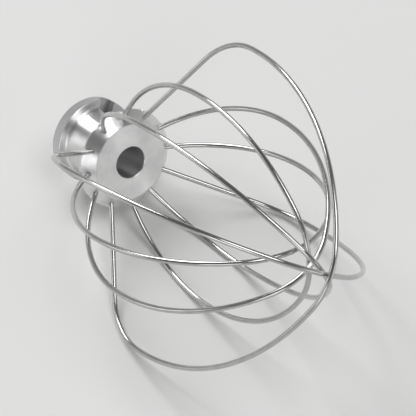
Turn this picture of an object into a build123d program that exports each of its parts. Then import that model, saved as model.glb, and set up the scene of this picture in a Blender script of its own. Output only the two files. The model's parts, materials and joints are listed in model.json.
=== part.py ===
"""Stand mixer wire whisk: a turned hub and six bent wire loops, lying as it comes to rest.

Millimetres and degrees. The origin is the middle of the drive bore. +Z is up, and the whisk's axis
runs from the collar towards the tip in the XZ plane, rising along +X.
"""
import os
from math import asin, atan, atan2, cos, degrees, hypot, radians, sin, tan

from build123d import *

# Drive bore and hub, turned from one bar
bore_diameter = 12.9
bore_chamfer = 0.3
hub_length = 30.7
face_diameter = 31.8
cone_diameter = 41.0
cone_height = 4.5
rim_land = 0.7
waist_diameter = 24.6
waist_fillet = 3.0
neck_diameter = 27.6
neck_fillet = 1.4
collar_diameter = 34.4
collar_thickness = 5.2
collar_front_chamfer = 0.3
collar_back_chamfer = 0.5
edge_break = 0.2

# Bayonet slot for the pin that crosses the mixer's shaft
drive_pin_diameter = 4.8
slot_clearance = 1.4
pocket_clearance = 1.9
pocket_azimuth = -41.5
locking_turn = 48.5
locking_drop = 3.0
collar_web = 2.0

# Wire and its seats in the cone
wire_diameter = 2.0
wire_seat_depth = 8.0
seat_clearance = 0.05
seat_end_gap = 0.2
stake_diameter = 2.2
stake_depth = 1.0
leg_angle = 54.6

# Wide loops have a long straight leg, round loops bend as soon as they leave the hub
wide_leg = 38.7
wide_reach = 61.4
round_leg = 4.5
round_reach = 45.5

# Loops in turn round the hub, the first one beside the top: shape, radius of the bend at the tip and lean
# of the plane. Then the order in which they cross there, from the innermost, and the gaps between them
loop_is_wide = [False, True, False, False, True, False]
loop_tip_radius = [17.2, 36.7, 30.8, 23.5, 26.3, 28.5]
loop_lean = [1.0, 0.9, 1.8, -0.6, -0.3, -2.0]
tip_order = "364125"
innermost_depth = 105.0
tip_gaps = [3.4, 0.6, 6.2, 0.3, 0.3]

# Places along the axis, from the middle of the bore
face_height = hub_length / 2
collar_end = -hub_length / 2
collar_front = collar_end + collar_thickness
entry_height = face_height - cone_height / 2
entry_radius = (face_diameter + cone_diameter) / 4
land_height = face_height - cone_height - rim_land
waist_height = land_height - (cone_diameter - waist_diameter) / 2

# Loop profiles: radius and height are measured from the ring of wire seats
loop_count = len(loop_is_wide)
loop_spacing = 180 / loop_count
tip_depths = [innermost_depth + cone_height / 2]
for tip_gap in tip_gaps:
    tip_depths.append(tip_depths[-1] + wire_diameter + tip_gap)


def on_leg(distance):
    """Radius and height of a point on a loop's straight leg, at a distance out from its seat's mouth."""
    return entry_radius + distance * sin(radians(leg_angle)), distance * cos(radians(leg_angle))


def shoulder(leg, reach):
    """Radius of the shoulder arc and height of the widest point, for a leg length and a reach."""
    leg_end_radius, leg_end_height = on_leg(leg)
    arc_radius = (reach - leg_end_radius) / (1 - cos(radians(leg_angle)))
    return arc_radius, leg_end_height + arc_radius * sin(radians(leg_angle))


def belly(reach, height, tip_radius):
    """Radius and turn of the belly arc from the widest point to a tip arc, for a height between them."""
    arc_radius = (reach**2 + height**2 - 2 * height * tip_radius) / (2 * (reach - tip_radius))
    return arc_radius, degrees(atan2(height - tip_radius, arc_radius - reach))


def rise_on(leg, reach, spread):
    """Slope of the axis when the collar and two shoulders, spread degrees from the lowest line, touch."""
    arc_radius, widest = shoulder(leg, reach)
    rise = 0.0
    for _ in range(40):
        level_turn = atan(tan(rise) / cos(radians(spread)))
        drop = (reach - arc_radius * (1 - cos(level_turn))) * cos(radians(spread))
        height = entry_height + widest - arc_radius * sin(level_turn)
        lower = drop - collar_diameter / 2
        ahead = height - collar_end - collar_back_chamfer
        rise = atan2(lower, ahead) + asin(wire_diameter / 2 / hypot(lower, ahead))
    return degrees(rise)


# The whisk lies on its collar and on whichever shoulders reach the floor first
axis_rise = max(
    rise_on(round_leg, round_reach, loop_spacing / 2),
    rise_on(wide_leg, wide_reach, loop_spacing * 1.5),
)
axis_direction = Vector(cos(radians(axis_rise)), 0, sin(radians(axis_rise)))
up_direction = Vector(-sin(radians(axis_rise)), 0, cos(radians(axis_rise)))
whisk = Plane((0, 0, 0), x_dir=up_direction, z_dir=axis_direction)
whisk_axis = Axis(whisk.origin, whisk.z_dir)


def half_plane(azimuth):
    """Plane through the axis, with X outwards at an angle from the upper side and Y along the axis."""
    outwards = whisk.x_dir.rotate(whisk_axis, azimuth)
    return Plane(whisk.origin, x_dir=outwards, z_dir=outwards.cross(whisk.z_dir))


def loop_plane(number):
    """Plane of one loop, centred on the ring of wire seats, X across the hub and Y towards the tip."""
    across = whisk.x_dir.rotate(whisk_axis, loop_spacing * (number + 0.5))
    leaning = whisk.z_dir.rotate(Axis(whisk.origin, across), loop_lean[number])
    return Plane(whisk.offset(entry_height).origin, x_dir=across, z_dir=across.cross(leaning))


def seat_plane(number, side):
    """Plane across one wire seat, facing out along the leg of the wire."""
    loop = loop_plane(number)
    outwards = loop.x_dir * (side * sin(radians(leg_angle))) + loop.y_dir * cos(radians(leg_angle))
    return Plane(loop.origin + loop.x_dir * (side * entry_radius), z_dir=outwards)


os.makedirs("parts", exist_ok=True)

# Hub: one revolved section, then the bayonet slot, the wire seats and the stake marks
slot_width = drive_pin_diameter + slot_clearance
pocket_width = drive_pin_diameter + pocket_clearance
pocket_back = collar_end + collar_web
slot_back = pocket_back + locking_drop
slot_front = slot_back + slot_width
cut_radius = collar_diameter

with BuildPart() as hub:
    with BuildSketch(half_plane(0)) as section:
        with BuildLine():
            Polyline(
                (bore_diameter / 2, collar_end + bore_chamfer),
                (bore_diameter / 2, face_height - bore_chamfer),
                (bore_diameter / 2 + bore_chamfer, face_height),
                (face_diameter / 2, face_height),
                (cone_diameter / 2, face_height - cone_height),
                (cone_diameter / 2, land_height),
                (waist_diameter / 2, waist_height),
                (neck_diameter / 2, collar_front),
                (collar_diameter / 2 - collar_front_chamfer, collar_front),
                (collar_diameter / 2, collar_front - collar_front_chamfer),
                (collar_diameter / 2, collar_end + collar_back_chamfer),
                (collar_diameter / 2 - collar_back_chamfer, collar_end),
                (bore_diameter / 2 + bore_chamfer, collar_end),
                close=True,
            )
        make_face()
        fillet(section.vertices().sort_by_distance((waist_diameter / 2, waist_height))[0], waist_fillet)
        fillet(section.vertices().sort_by_distance((neck_diameter / 2, collar_front))[0], neck_fillet)
        for rim_height in (land_height, face_height - cone_height):
            chamfer(section.vertices().sort_by_distance((cone_diameter / 2, rim_height))[0], edge_break)
        chamfer(section.vertices().sort_by_distance((face_diameter / 2, face_height))[0], edge_break)
    revolve(axis=whisk_axis)

    # The pin enters at the collar's end, turns along the cross slot and drops back into the pocket
    entry_cut = half_plane(pocket_azimuth - locking_turn)
    with BuildSketch(Plane(whisk.origin, x_dir=whisk.z_dir, z_dir=entry_cut.x_dir)):
        with Locations(((collar_end - collar_web + slot_front) / 2, 0)):
            Rectangle(slot_front - collar_end + collar_web, slot_width)
    extrude(amount=cut_radius, mode=Mode.SUBTRACT)
    pocket_cut = half_plane(pocket_azimuth)
    with BuildSketch(Plane(whisk.origin, x_dir=whisk.z_dir, z_dir=pocket_cut.x_dir)):
        with Locations(((pocket_back + slot_front) / 2, 0)):
            Rectangle(slot_front - pocket_back, pocket_width)
    extrude(amount=cut_radius, mode=Mode.SUBTRACT)
    with BuildSketch(entry_cut):
        with Locations((cut_radius / 2, (slot_back + slot_front) / 2)):
            Rectangle(cut_radius, slot_width)
    revolve(axis=whisk_axis, revolution_arc=locking_turn, mode=Mode.SUBTRACT)

    # Two blind seats for each loop, drilled along its legs
    for number in range(loop_count):
        for side in (1, -1):
            with BuildSketch(seat_plane(number, side).offset(wire_diameter)):
                Circle(wire_diameter / 2 + seat_clearance)
            extrude(amount=-wire_diameter - wire_seat_depth, mode=Mode.SUBTRACT)

    # A pointed punch mark on the edge of the cone behind each wire, struck along its seat
    with Locations(whisk.offset(face_height - cone_height)):
        with PolarLocations(cone_diameter / 2, 2 * loop_count, start_angle=loop_spacing / 2):
            Cone(
                stake_diameter / 2,
                0,
                stake_depth,
                rotation=(0, 180 + leg_angle, 0),
                align=(Align.CENTER, Align.CENTER, Align.MIN),
                mode=Mode.SUBTRACT,
            )

hub.part.label = "hub"
export_step(hub.part, "parts/hub.step")

# Wire loops: seat, straight leg, shoulder arc and belly arc on both sides, joined by the tip arc
for number in range(loop_count):
    leg = wide_leg if loop_is_wide[number] else round_leg
    reach = wide_reach if loop_is_wide[number] else round_reach
    tip_radius = loop_tip_radius[number]
    tip_depth = tip_depths[tip_order.index(str(number + 1))]
    shoulder_radius, widest = shoulder(leg, reach)
    belly_radius, belly_turn = belly(reach, tip_depth - widest, tip_radius)
    loop = loop_plane(number)
    with BuildPart() as wire_loop:
        with BuildLine(loop) as path:
            straight = Line(on_leg(seat_end_gap - wire_seat_depth), on_leg(leg))
            CenterArc((reach - shoulder_radius, widest), shoulder_radius, -leg_angle, leg_angle)
            CenterArc((reach - belly_radius, widest), belly_radius, 0, belly_turn)
            mirror(about=Plane(loop.origin, z_dir=loop.x_dir))
            CenterArc((0, tip_depth - tip_radius), tip_radius, belly_turn, 180 - 2 * belly_turn)
        with BuildSketch(Plane(straight @ 0, z_dir=straight % 0)):
            Circle(wire_diameter / 2)
        sweep(path=path.wire())
    wire_loop.part.label = f"wire_loop_{number + 1}"
    export_step(wire_loop.part, f"parts/wire_loop_{number + 1}.step")
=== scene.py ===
import json
from math import atan2, cos, pi, radians, sin

import bmesh
import bpy
from mathutils import Matrix, Vector


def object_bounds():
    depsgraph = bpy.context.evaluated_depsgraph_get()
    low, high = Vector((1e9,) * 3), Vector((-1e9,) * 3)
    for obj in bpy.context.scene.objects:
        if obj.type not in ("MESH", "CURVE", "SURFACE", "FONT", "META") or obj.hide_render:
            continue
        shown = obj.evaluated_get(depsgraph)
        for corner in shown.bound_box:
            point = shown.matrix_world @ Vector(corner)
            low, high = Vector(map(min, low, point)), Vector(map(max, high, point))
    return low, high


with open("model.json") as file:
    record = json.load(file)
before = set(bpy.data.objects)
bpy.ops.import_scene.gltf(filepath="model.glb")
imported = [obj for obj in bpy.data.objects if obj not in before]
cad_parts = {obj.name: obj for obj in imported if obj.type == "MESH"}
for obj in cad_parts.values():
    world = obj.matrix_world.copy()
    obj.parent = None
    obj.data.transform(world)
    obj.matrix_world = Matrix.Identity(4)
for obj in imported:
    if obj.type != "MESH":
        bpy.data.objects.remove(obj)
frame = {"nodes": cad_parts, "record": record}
cad_low, cad_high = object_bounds()

# Hub: one piece of aluminium bar, faced, bored and turned on a lathe. The tool leaves fine rings round
# the axis, so highlights spread into fans. The collar's rim keeps the bar's dull skin with its lengthwise
# grain, and handling has left light marks. The bayonet slot is milled and painted darker, partly for its
# duller finish and partly as painted shade in its recess, and the bore is painted dark grey as shade.
drive_axis = -Vector(frame["record"]["mounts"][0]["axis"])
axis_rise = atan2(drive_axis.z, drive_axis.x)
aluminium_bright = (0.86, 0.86, 0.855, 1)
aluminium_dull = (0.70, 0.70, 0.70, 1)
# Collar's dull skin, also used in the bayonet slot, where its darkness is partly painted shade
unturned_skin_and_slot_shade = (0.62, 0.62, 0.62, 1)
# Painted shade: the inside of the bore is coloured darker to stand for the shade in it
bore_painted_shade = (0.42, 0.42, 0.42, 1)
bright_roughness = 0.28
dull_roughness = 0.40
added_roughness = 0.14
fan_width = 0.85
quarter_turn = 0.25

# Marks of the tool and of handling: their sizes, what each adds, and the levels taken as dull and bright
tool_mark_pitch = 0.0004
tool_mark_height = 0.000005
tool_mark_strength = 0.5
smudges_per_metre = 160
scuffs_per_metre = 1400
height_share = 0.7
ring_share = 0.25
scuff_share = 0.25
dull_level = 0.35
bright_level = 0.9

# Edges of the bore, the collar's rim and the bayonet slot, drawn wide enough to take in their walls
bore_edge = 0.0066
collar_edge = 0.0170
slot_front = -0.0041
cross_slot_back = -0.0104
pocket_back = -0.0134
pocket_reach = 0.0034
entry_reach = 0.00315
pocket_azimuth = radians(-41.5)
far = 1.0


def set_inputs(tree, made, inputs):
    """Gives a node's inputs, by name or number, a link from another node or a value."""
    for key, value in inputs.items():
        if isinstance(value, bpy.types.NodeSocket):
            tree.links.new(value, made.inputs[key])
        else:
            made.inputs[key].default_value = value


def node(tree, kind, inputs, **settings):
    """Adds a shader node with its settings and inputs."""
    made = tree.nodes.new(kind)
    for name, value in settings.items():
        setattr(made, name, value)
    set_inputs(tree, made, inputs)
    return made


def new_material(name):
    """A material, its node tree and its shader."""
    material = bpy.data.materials.new(name)
    material.use_nodes = True
    return material, material.node_tree, material.node_tree.nodes["Principled BSDF"]


def dress(piece, material):
    """Gives a piece one material in place of those it came with."""
    piece.data.materials.clear()
    piece.data.materials.append(material)


def places_on(tree):
    """The places on the piece that wears a material, in the frame's own axes."""
    return node(tree, "ShaderNodeTexCoord", {}).outputs["Object"]


def distance_along(tree, place, direction):
    """How far a place lies along a direction."""
    inputs = {0: place, 1: tuple(direction)}
    return node(tree, "ShaderNodeVectorMath", inputs, operation="DOT_PRODUCT").outputs["Value"]


def noise(tree, place, scale, detail, roughness):
    """Cloudy noise, in space for a vector and along a line for a single number."""
    in_space = place.type == "VECTOR"
    inputs = {"Vector" if in_space else "W": place, "Scale": scale, "Detail": detail, "Roughness": roughness}
    return node(tree, "ShaderNodeTexNoise", inputs, noise_dimensions="3D" if in_space else "1D").outputs[0]


def plus_share(tree, base, share, value):
    """A base with a share of another value added."""
    return node(tree, "ShaderNodeMath", {0: value, 1: share, 2: base}, operation="MULTIPLY_ADD").outputs[0]


def stretch(tree, value, low, high, start=0.0, end=1.0):
    """Runs from start to end as a value goes from low to high, and stays there beyond them."""
    inputs = {"Value": value, "From Min": low, "From Max": high, "To Min": start, "To Max": end}
    return node(tree, "ShaderNodeMapRange", inputs).outputs[0]


def blend(tree, factor, start, end):
    """A colour that goes from one to another as the factor goes from 0 to 1."""
    return node(tree, "ShaderNodeMix", {0: factor, 6: start, 7: end}, data_type="RGBA").outputs[2]


def bumps(tree, relief, strength, height):
    """The surface's direction, tilted by a fine relief."""
    inputs = {"Height": relief, "Strength": strength, "Distance": height}
    return node(tree, "ShaderNodeBump", inputs).outputs[0]


def inside(tree, value, low, high):
    """1 where a value lies between two limits, and 0 elsewhere."""
    inputs = {0: value, 1: (low + high) / 2, 2: (high - low) / 2}
    return node(tree, "ShaderNodeMath", inputs, operation="COMPARE").outputs[0]


def all_of(tree, *tests):
    """1 where every test is 1."""
    product = tests[0]
    for test in tests[1:]:
        product = node(tree, "ShaderNodeMath", {0: product, 1: test}, operation="MULTIPLY").outputs[0]
    return product


def any_of(tree, *tests):
    """1 where at least one test is 1."""
    most = tests[0]
    for test in tests[1:]:
        most = node(tree, "ShaderNodeMath", {0: most, 1: test}, operation="MAXIMUM").outputs[0]
    return most


turned, tree, shader = new_material("turned_aluminium")
place = places_on(tree)

# Places with the axis turned upright: height on it, radius from it, and distances from the slot's two ends
stand_up = {"Vector": place, "Rotation": (0, axis_rise - pi / 2, 0)}
along = node(tree, "ShaderNodeMapping", stand_up).outputs[0]
beside_entry, towards_entry, height = node(tree, "ShaderNodeSeparateXYZ", {0: along}).outputs
towards_pocket = distance_along(tree, along, (-cos(pocket_azimuth), -sin(pocket_azimuth), 0))
beside_pocket = distance_along(tree, along, (-sin(pocket_azimuth), cos(pocket_azimuth), 0))
across = node(tree, "ShaderNodeVectorMath", {0: along, 1: (1, 1, 0)}, operation="MULTIPLY").outputs[0]
radius = node(tree, "ShaderNodeVectorMath", {0: across}, operation="LENGTH").outputs["Value"]

# The bore, whose colour is painted darker below as shade
in_bore = inside(tree, radius, 0, bore_edge)
on_collar = all_of(tree, inside(tree, radius, collar_edge, far), inside(tree, height, -far, 0))
in_pocket = all_of(
    tree,
    inside(tree, beside_pocket, -pocket_reach, pocket_reach),
    inside(tree, towards_pocket, 0, far),
    inside(tree, height, pocket_back, slot_front),
)
in_entry = all_of(
    tree,
    inside(tree, beside_entry, -entry_reach, entry_reach),
    inside(tree, towards_entry, 0, far),
    inside(tree, height, -far, slot_front),
)
in_cross_slot = all_of(
    tree,
    inside(tree, beside_entry, -far, 0),
    inside(tree, beside_pocket, 0, far),
    inside(tree, towards_entry, 0, far),
    inside(tree, height, cross_slot_back, slot_front),
)
# Rim and slot, coloured darker below; in the slot that darkness is partly painted shade
unturned = any_of(tree, on_collar, in_pocket, in_entry, in_cross_slot)

tool_path = plus_share(tree, radius, height_share, height)
rings = noise(tree, tool_path, 1 / tool_mark_pitch, detail=5, roughness=0.65)
smudges = noise(tree, place, smudges_per_metre, detail=6, roughness=0.6)
scuffs = noise(tree, place, scuffs_per_metre, detail=3, roughness=0.5)
shine = stretch(tree, plus_share(tree, smudges, ring_share, rings), dull_level, bright_level)
turned_tone = blend(tree, shine, aluminium_dull, aluminium_bright)
outer_tone = blend(tree, unturned, turned_tone, unturned_skin_and_slot_shade)
turned_finish = stretch(tree, shine, 0, 1, dull_roughness, bright_roughness)

# Direction of the grain: round the axis where the tool went, and along it on the collar's rim
square_to_axis = {0: tuple(drive_axis), 1: place}
round_axis = node(tree, "ShaderNodeVectorMath", square_to_axis, operation="CROSS_PRODUCT").outputs[0]
tool_grain = node(tree, "ShaderNodeVectorMath", {0: round_axis}, operation="NORMALIZE").outputs[0]
two_grains = {0: on_collar, 4: tool_grain, 5: tuple(drive_axis)}
grain = node(tree, "ShaderNodeMix", two_grains, data_type="VECTOR").outputs[1]

# The base colour holds painted shade: in the whole bore, and in part in the bayonet slot
set_inputs(tree, shader, {
    "Base Color": blend(tree, in_bore, outer_tone, bore_painted_shade),
    "Roughness": plus_share(tree, turned_finish, added_roughness, any_of(tree, unturned, in_bore)),
    "Normal": bumps(tree, plus_share(tree, rings, scuff_share, scuffs), tool_mark_strength, tool_mark_height),
    "Tangent": grain,
    "Metallic": 1,
    "Anisotropic": fan_width,
    "Anisotropic Rotation": quarter_turn,
})
dress(frame["nodes"]["hub"], turned)

# Wire loops: stainless spring wire, bent to shape and staked into the cone. Drawing through a die leaves
# it bright, with faint streaks that follow the wire, and use has worn fine scratches and dull spots into
# the polish. A loop lies in one plane, so a streak keeps its distance from that plane all the way round.
loop_spacing = radians(30)
loop_lean = (1.0, 0.9, 1.8, -0.6, -0.3, -2.0)
wire_bright = (0.58, 0.575, 0.565, 1)
wire_dull = (0.44, 0.44, 0.435, 1)
bright_wire_roughness = 0.08
dull_wire_roughness = 0.20
streak_pitch = 0.00025
wire_mark_height = 0.000004
wire_mark_strength = 0.5
spots_per_metre = 220
scratches_per_metre = 2600
scratch_share = 0.5
mark_share = 0.5
dull_wire_level = 0.6
bright_wire_level = 1.15


def drawn_wire(name, across_plane):
    """Polished wire with its streaks, for a loop whose plane is square to a direction."""
    polished, tree, shader = new_material(name)
    place = places_on(tree)
    sideways = distance_along(tree, place, across_plane)
    streaks = noise(tree, sideways, 1 / streak_pitch, detail=4, roughness=0.7)
    spots = noise(tree, place, spots_per_metre, detail=5, roughness=0.6)
    scratches = noise(tree, place, scratches_per_metre, detail=4, roughness=0.7)
    marks = plus_share(tree, streaks, scratch_share, scratches)
    polish = stretch(tree, plus_share(tree, spots, mark_share, marks), dull_wire_level, bright_wire_level)
    set_inputs(tree, shader, {
        "Base Color": blend(tree, polish, wire_dull, wire_bright),
        "Roughness": stretch(tree, polish, 0, 1, dull_wire_roughness, bright_wire_roughness),
        "Normal": bumps(tree, marks, wire_mark_strength, wire_mark_height),
        "Metallic": 1,
    })
    return polished


upper_side = Vector((-drive_axis.z, 0, drive_axis.x))
for number, lean in enumerate(loop_lean):
    across_hub = Matrix.Rotation(loop_spacing * (number + 0.5), 3, drive_axis) @ upper_side
    towards_tip = Matrix.Rotation(radians(lean), 3, across_hub) @ drive_axis
    polished = drawn_wire(f"polished_stainless_{number + 1}", across_hub.cross(towards_tip))
    dress(frame["nodes"][f"wire_loop_{number + 1}"], polished)

# Floor: a wide pale sheet that the whisk lies on, with its edge far outside the view. It is matt and plain,
# and is there to carry the shadows.
floor_radius = 4.0
floor_colour = (0.74, 0.74, 0.735, 1)
floor_roughness = 0.7

mesh = bpy.data.meshes.new("floor")
shape = bmesh.new()
bmesh.ops.create_circle(shape, cap_ends=True, segments=96, radius=floor_radius)
bmesh.ops.translate(shape, verts=shape.verts, vec=(0, 0, cad_low.z))
shape.to_mesh(mesh)
shape.free()
floor = bpy.data.objects.new("floor", mesh)
bpy.context.scene.collection.objects.link(floor)
pale, tree, shader = new_material("pale_floor")
set_inputs(tree, shader, {"Base Color": floor_colour, "Roughness": floor_roughness})
dress(floor, pale)

# Light: a studio whose walls are paler than its ceiling. Large soft boxes behind the hub, overhead and low
# on the near side draw the bright fans on the turned metal, and two weaker ones light the hub's front face
# and the side of its neck.
wall_grey = 0.50
ceiling_grey = 0.14
ceiling_start = 0.85
middle = (cad_low + cad_high) / 2

world = bpy.data.worlds.new("studio")
world.use_nodes = True
tree = world.node_tree
heading = node(tree, "ShaderNodeTexCoord", {}).outputs["Generated"]
climb = node(tree, "ShaderNodeSeparateXYZ", {0: heading}).outputs[2]
fade = {"Value": climb, "From Min": 0, "From Max": ceiling_start, "To Min": wall_grey, "To Max": ceiling_grey}
shade = node(tree, "ShaderNodeMapRange", fade, interpolation_type="SMOOTHSTEP")
set_inputs(tree, tree.nodes["Background"], {"Color": shade.outputs[0]})
bpy.context.scene.world = world


def soft_box(name, place, size, power):
    """A square area light at a place, turned towards the middle of the whisk."""
    data = bpy.data.lights.new(name, "AREA")
    data.shape = "SQUARE"
    data.size = size
    data.energy = power
    lamp = bpy.data.objects.new(name, data)
    turn = (middle - Vector(place)).to_track_quat("-Z", "Y").to_matrix().to_4x4()
    lamp.matrix_world = Matrix.Translation(place) @ turn
    bpy.context.scene.collection.objects.link(lamp)


soft_box("key_light", place=(-2.25, 0.15, 2.55), size=1.8, power=72.0)
soft_box("top_light", place=(1.20, 0.66, 3.30), size=1.8, power=37.8)
soft_box("near_light", place=(1.95, -2.52, 1.38), size=1.5, power=15.3)
soft_box("front_light", place=(3.15, 1.26, 0.45), size=1.8, power=8.0)
soft_box("side_light", place=(-2.10, -2.55, 1.20), size=1.8, power=10.8)

# Camera: high in front of the tip, looking down on the cage past the hub's front face. A long lens from
# nearly a metre away keeps the wires and the hub close to their true proportions.
camera_azimuth = 52.72
camera_elevation = 55.1
camera_roll = -2.47
camera_distance = 0.878
camera_aim = (0.05376, 0.00677, 0.0121)
camera_lens = 199.0
sensor_width = 36.0
nearest_view = 0.05

lens = bpy.data.cameras.new("camera")
lens.lens = camera_lens
lens.sensor_width = sensor_width
lens.clip_start = nearest_view
camera = bpy.data.objects.new("camera", lens)
swing = Matrix.Rotation(radians(camera_azimuth), 4, "Z")
tilt = Matrix.Rotation(radians(90 - camera_elevation), 4, "X")
roll = Matrix.Rotation(radians(camera_roll), 4, "Z")
back = Matrix.Translation((0, 0, camera_distance))
camera.matrix_world = Matrix.Translation(camera_aim) @ swing @ tilt @ roll @ back
bpy.context.scene.collection.objects.link(camera)
bpy.context.scene.camera = camera
bpy.context.scene.view_settings.view_transform = "Standard"
